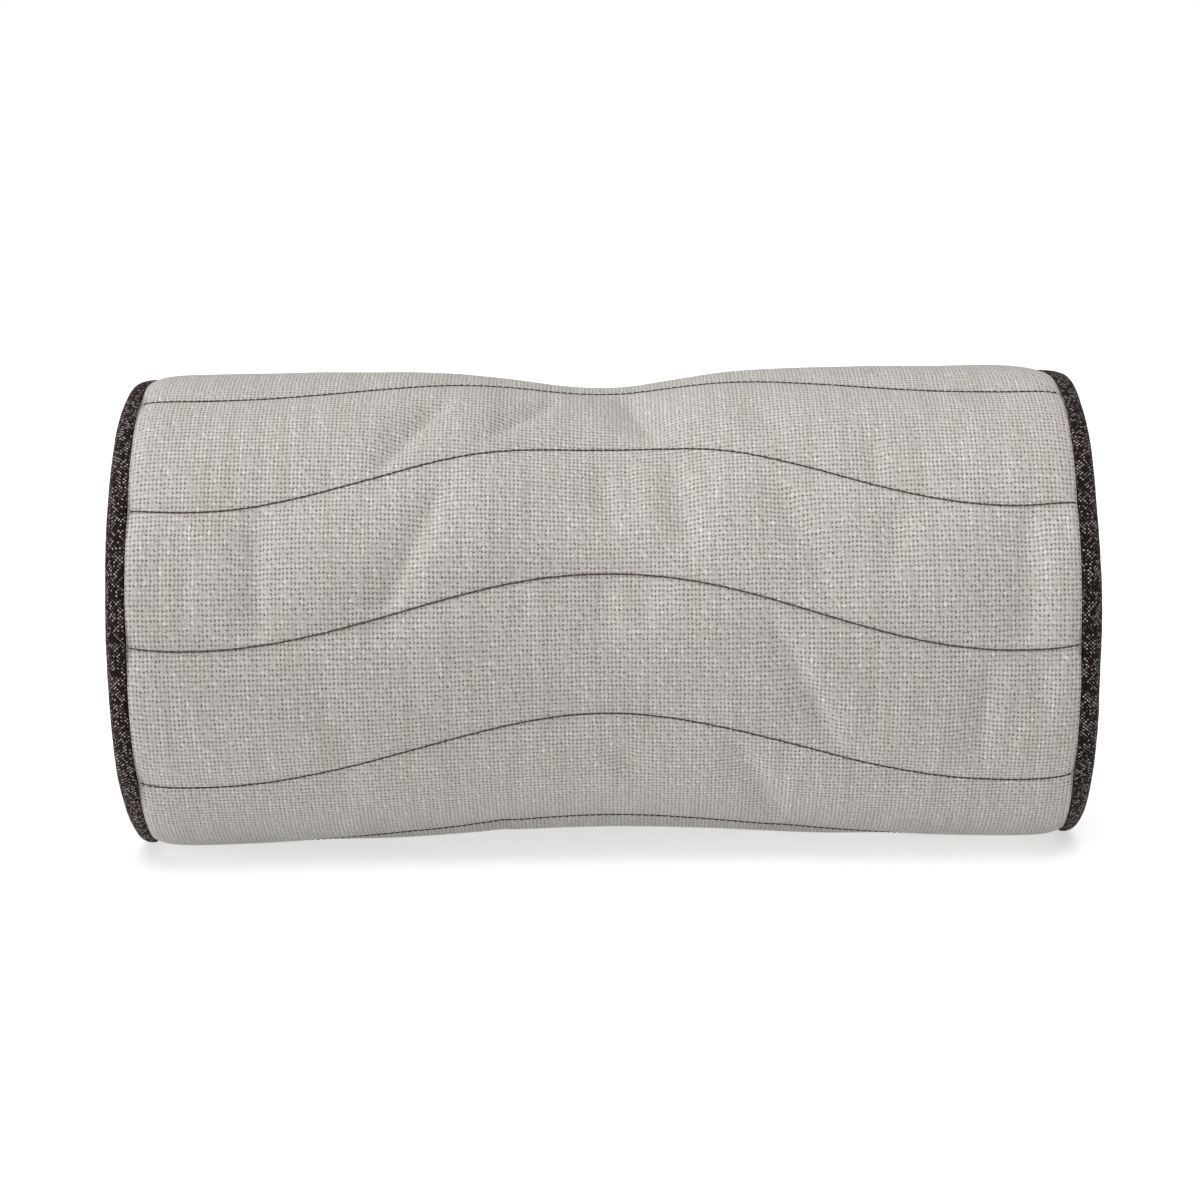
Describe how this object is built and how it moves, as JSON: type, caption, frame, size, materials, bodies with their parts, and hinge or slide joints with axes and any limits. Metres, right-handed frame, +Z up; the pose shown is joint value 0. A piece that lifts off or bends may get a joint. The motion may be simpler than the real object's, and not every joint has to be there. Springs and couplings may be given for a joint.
{
  "type": "bolster pillow",
  "caption": "Round quilted bolster pillow with wavy stitch lines, dark rolled end bands, a zipped cover and a cased foam insert.",
  "frame": {"origin": "on the resting surface, under the middle of the roll", "axes": "+X along the roll, towards its right end as seen from the front; -Y is the front; +Z up"},
  "size_m": [0.4, 0.1978, 0.1949],
  "materials": {
    "face": "ivory basket-weave linen-look cloth",
    "trim": "dark brown melange cloth cut on the bias",
    "thread": "dark brown spun sewing thread",
    "wadding": "needled polyester wadding",
    "backing": "fine plain-weave cotton",
    "cord": "braided cotton filler cord",
    "calico": "unbleached plain-weave cotton",
    "fibre": "lofty polyester fibre",
    "foam": "open-cell polyurethane foam, as cut",
    "label": "woven polyester satin ribbon",
    "tape": "knitted polyester zip tape",
    "coil": "dyed nylon monofilament",
    "metal": "antique plated die-cast metal"
  },
  "bodies": {
    "cushion": {"cover_panel": "face", "cover_wadding": "wadding", "cover_backing": "backing", "quilting_thread_01": "thread", "quilting_thread_02": "thread", "quilting_thread_03": "thread", "quilting_thread_04": "thread", "quilting_thread_05": "thread", "quilting_thread_06": "thread", "quilting_thread_07": "thread", "quilting_thread_08": "thread", "quilting_thread_09": "thread", "quilting_thread_10": "thread", "end_band_left": "trim", "end_cord_left": "cord", "end_panel_left": "trim", "casing_end_left": "calico", "end_band_right": "trim", "end_cord_right": "cord", "end_panel_right": "trim", "casing_end_right": "calico", "casing_body": "calico", "fibre_wrap": "fibre", "foam_core": "foam", "care_label": "label", "zip_tape_upper": "tape", "zip_coil_upper": "coil", "zip_stitching_upper": "thread", "zip_tape_lower": "tape", "zip_coil_lower": "coil", "zip_stitching_lower": "thread", "zip_bottom_stop": "metal", "zip_top_stop": "metal"},
    "zip_slider": {"zip_slider": "metal"},
    "zip_pull": {"zip_pull": "metal"}
  },
  "joints": [
    {"name": "zip_slide", "type": "slide", "parent": "cushion", "child": "zip_slider", "axis": [-1, 0, 0], "range_m": [0, 0.3]},
    {"name": "zip_pull_hinge", "type": "hinge", "parent": "zip_slider", "child": "zip_pull", "pos_m": [0.1517, 0.09607, 0.11251], "axis": [0, 0.1693, -0.9856], "range_deg": [0, 170]}
  ]
}
